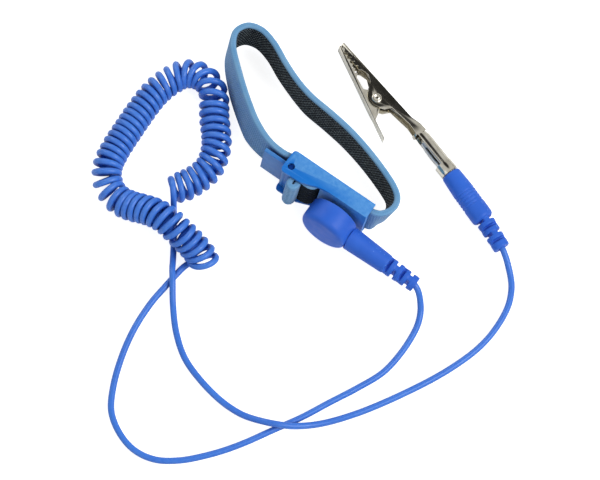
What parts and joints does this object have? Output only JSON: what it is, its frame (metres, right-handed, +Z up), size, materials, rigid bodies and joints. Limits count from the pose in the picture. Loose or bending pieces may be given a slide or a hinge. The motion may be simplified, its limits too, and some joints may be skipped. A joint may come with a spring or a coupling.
{
  "type": "esd wrist strap",
  "caption": "Elastic wrist band in a cam buckle, with a curly grounding cord that snaps onto it, a resistor in the snap head, and a banana plug with a spring clip.",
  "frame": {"origin": "middle of the buckle's lower side wall, on the surface that the strap stands on", "axes": "+X along the buckle from its hinge end to its fixed end, +Y from the buckle towards the wrist, +Z up across the band's width"},
  "size_m": [0.1314, 0.1428, 0.017],
  "materials": {
    "knit": "ribbed elastic knit, dark conductive inner face",
    "buckle_plastic": "glossy moulding",
    "moulded_vinyl": "satin soft moulding",
    "cord_jacket": "smooth satin jacket",
    "steel": "brushed",
    "nickel": "bright nickel plate",
    "brass": "plain",
    "resistor_body": "lacquered"
  },
  "bodies": {
    "strap": {"elastic_band": "knit", "buckle_base": "buckle_plastic", "contact_plate": "steel", "lever_pin": "steel", "stud_rivet": "brass", "snap_stud": "nickel"},
    "lever": {"cam_lever": "buckle_plastic"},
    "cord_set": {"snap_head_shell": "moulded_vinyl", "snap_socket": "nickel", "socket_spring": "brass", "snap_neck": "moulded_vinyl", "series_resistor": "resistor_body", "cord_crimp": "brass", "snap_lead": "cord_jacket", "curly_cord": "cord_jacket", "clip_lead": "cord_jacket", "plug_boot": "moulded_vinyl", "banana_pin": "nickel", "banana_leaves": "nickel", "plug_crimp": "brass"},
    "clip": {"clip_upper_jaw": "nickel", "clip_rivet": "nickel", "clip_spring": "steel"},
    "jaw": {"clip_lower_jaw": "nickel"}
  },
  "joints": [
    {"name": "lever_hinge", "type": "hinge", "parent": "strap", "child": "lever", "pos_m": [-0.01245, -0.0025, 0.0085], "axis": [0, 0, 1], "range_deg": [0, 95]},
    {"name": "snap_pull_off", "type": "slide", "parent": "strap", "child": "cord_set", "axis": [0, -1, 0], "range_m": [0, 0.006]},
    {"name": "clip_pull_off", "type": "slide", "parent": "cord_set", "child": "clip", "axis": [-0.9511, 0.309, 0], "range_m": [0, 0.0145]},
    {"name": "jaw_hinge", "type": "hinge", "parent": "clip", "child": "jaw", "pos_m": [-0.00541, 0.03592, 0.00372], "axis": [0, 0, 1], "range_deg": [0, 25], "stiffness_Nm_per_rad": 0.15, "springref_deg": -34.38}
  ]
}
